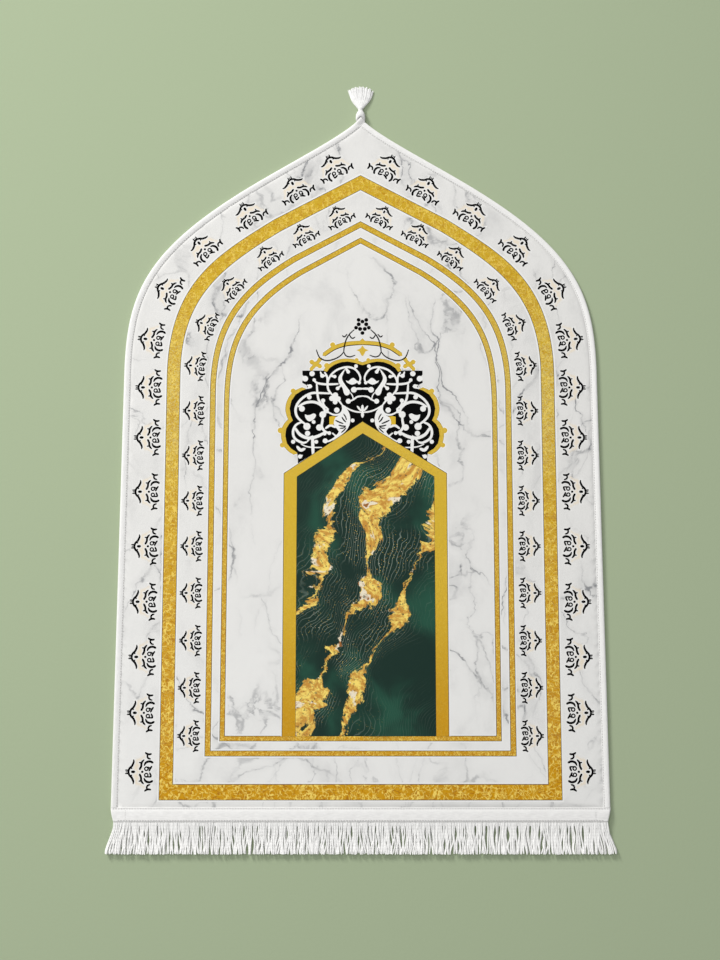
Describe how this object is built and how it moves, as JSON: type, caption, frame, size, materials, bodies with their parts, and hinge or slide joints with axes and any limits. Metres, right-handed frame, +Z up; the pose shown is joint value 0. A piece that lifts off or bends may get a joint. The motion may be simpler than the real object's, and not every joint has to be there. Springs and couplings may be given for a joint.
{
  "type": "prayer rug",
  "caption": "Flat, padded, pointed-arch prayer rug with a printed top, bound side edges, a heading tape and fringe at the straight end, and a tassel at the point.",
  "frame": {"origin": "on the floor under the rug, at the middle of its length and width, tassel and fringe counted in", "axes": "+Z up out of the printed face, +Y along the rug towards its point and tassel, +X to the right as seen from above with the point away from the viewer"},
  "size_m": [0.7152, 1.1226, 0.0094],
  "materials": {
    "printed_pile": "short velvety pile printed with white marble, gold bands and black ornament",
    "binding_cloth": "matt white woven strip",
    "heading_cloth": "matt white woven tape",
    "fringe_yarn": "soft white cotton yarn",
    "tassel_yarn": "smooth white yarn with a slight sheen"
  },
  "bodies": {
    "root": {"mat": "printed_pile", "binding_left": "binding_cloth", "binding_right": "binding_cloth", "heading_tape": "heading_cloth", "fringe": "fringe_yarn", "tassel": "tassel_yarn"}
  },
  "joints": []
}
